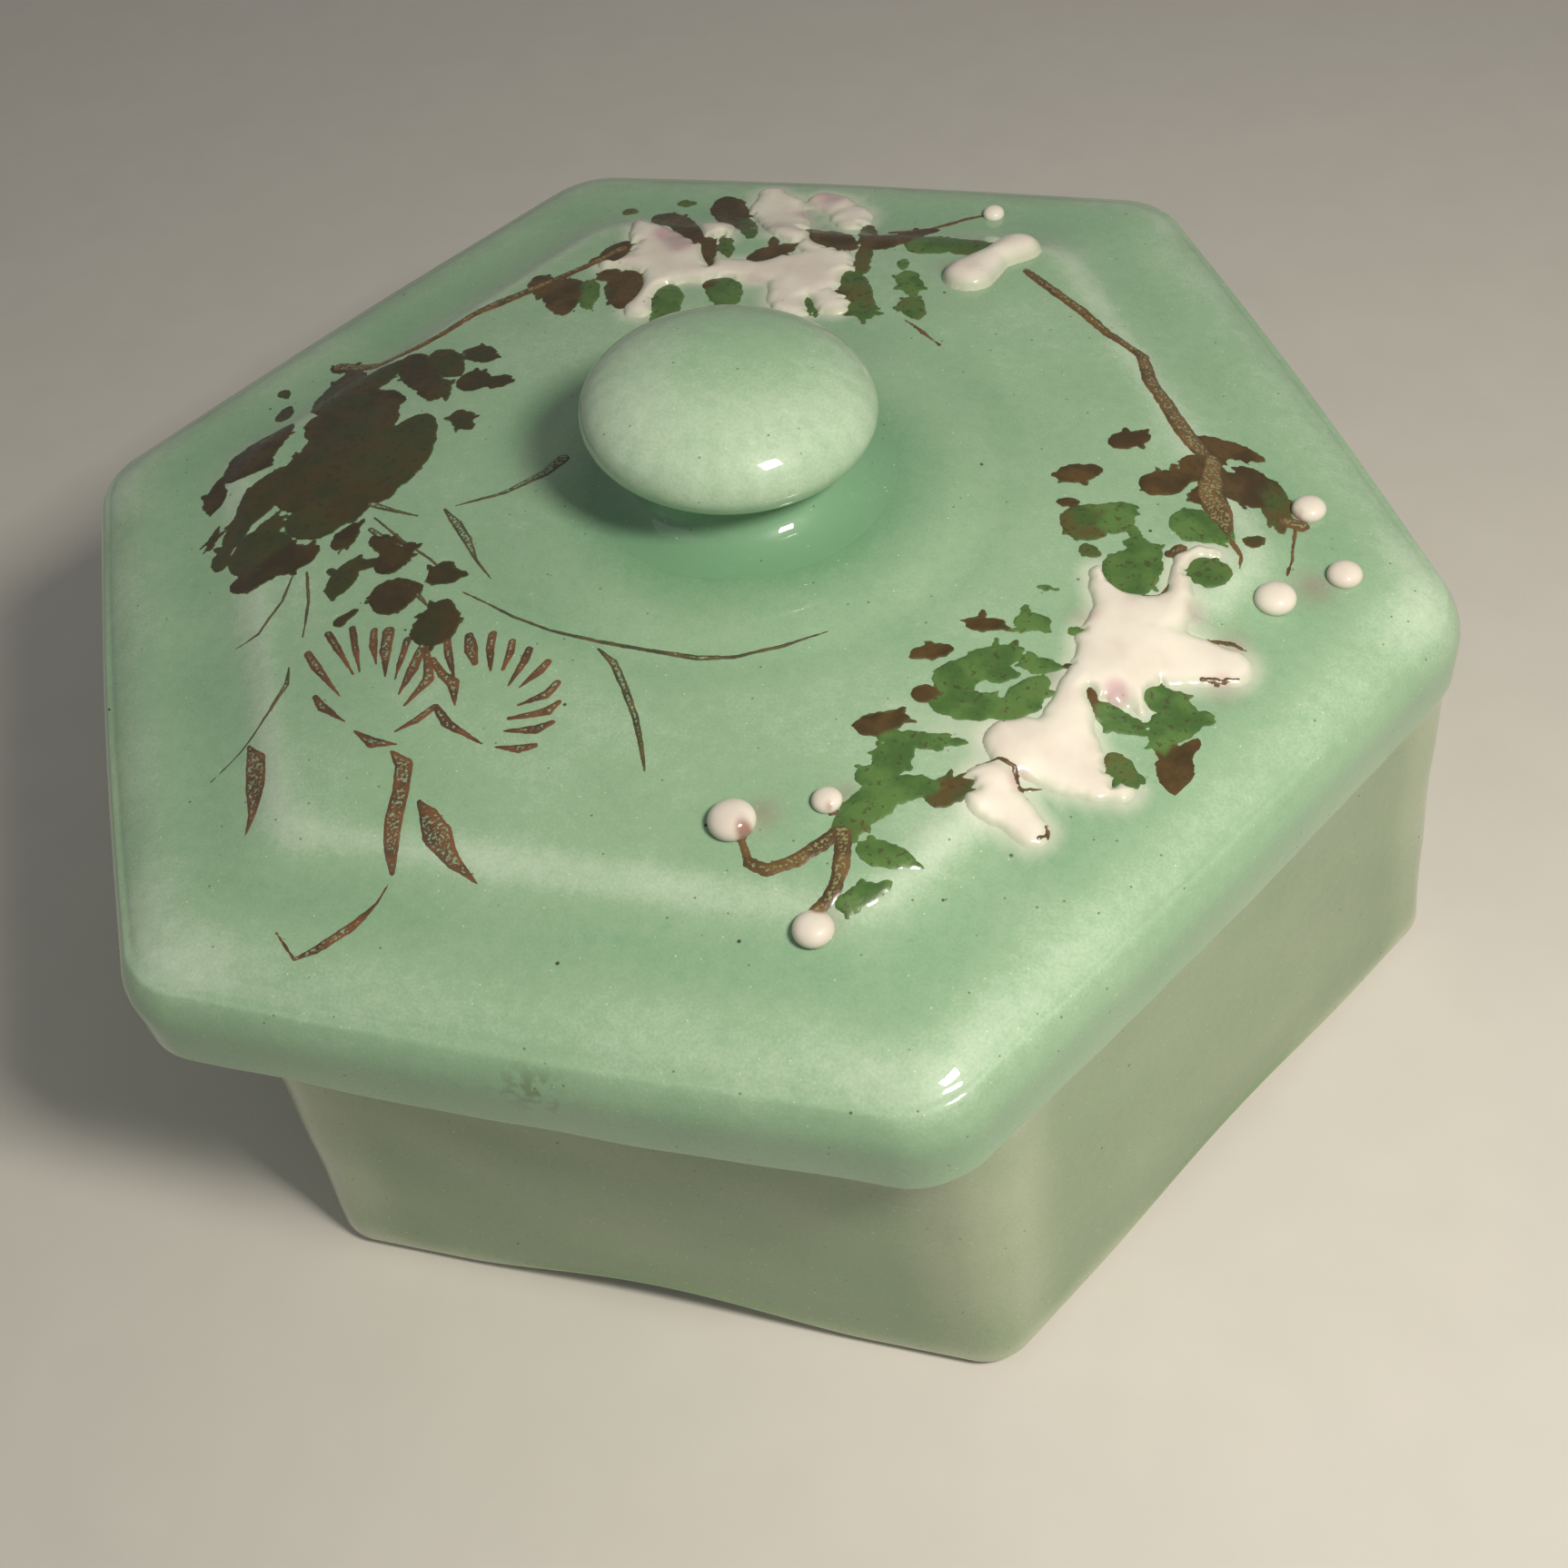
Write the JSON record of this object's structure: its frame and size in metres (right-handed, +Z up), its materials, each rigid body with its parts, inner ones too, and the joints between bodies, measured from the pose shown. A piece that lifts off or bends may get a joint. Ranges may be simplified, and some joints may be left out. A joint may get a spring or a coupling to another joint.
{
  "type": "trinket box",
  "caption": "Hexagonal glazed porcelain trinket box with a loose domed lid, a mushroom knob and raised flower sprays; holds small jewellery.",
  "frame": {"origin": "on the table, under the middle of the lid", "axes": "+Z up, +X through one corner of the hexagon"},
  "size_m": [0.1027, 0.0908, 0.0498],
  "materials": {
    "celadon_box": "gloss",
    "celadon_lid": "gloss",
    "celadon_flange": "gloss",
    "celadon_knob": "gloss",
    "white_slip": "gloss",
    "green_enamel": "satin",
    "olive_enamel": "satin",
    "bark_enamel": "satin",
    "rust_enamel": "satin"
  },
  "bodies": {
    "base": {"box_body": "celadon_box"},
    "lid": {"lid_cover": "celadon_lid", "locating_flange": "celadon_flange", "knob": "celadon_knob", "side_blossom": "white_slip", "back_blossom": "white_slip", "slip_buds": "white_slip", "side_leaves": "green_enamel", "left_leaves": "olive_enamel", "back_leaves": "green_enamel", "branches": "bark_enamel", "fan_flowers": "rust_enamel", "tendrils": "rust_enamel"}
  },
  "joints": [
    {"name": "lid_lift", "type": "slide", "parent": "base", "child": "lid", "axis": [0, 0, 1], "range_m": [0, 0.06]}
  ]
}
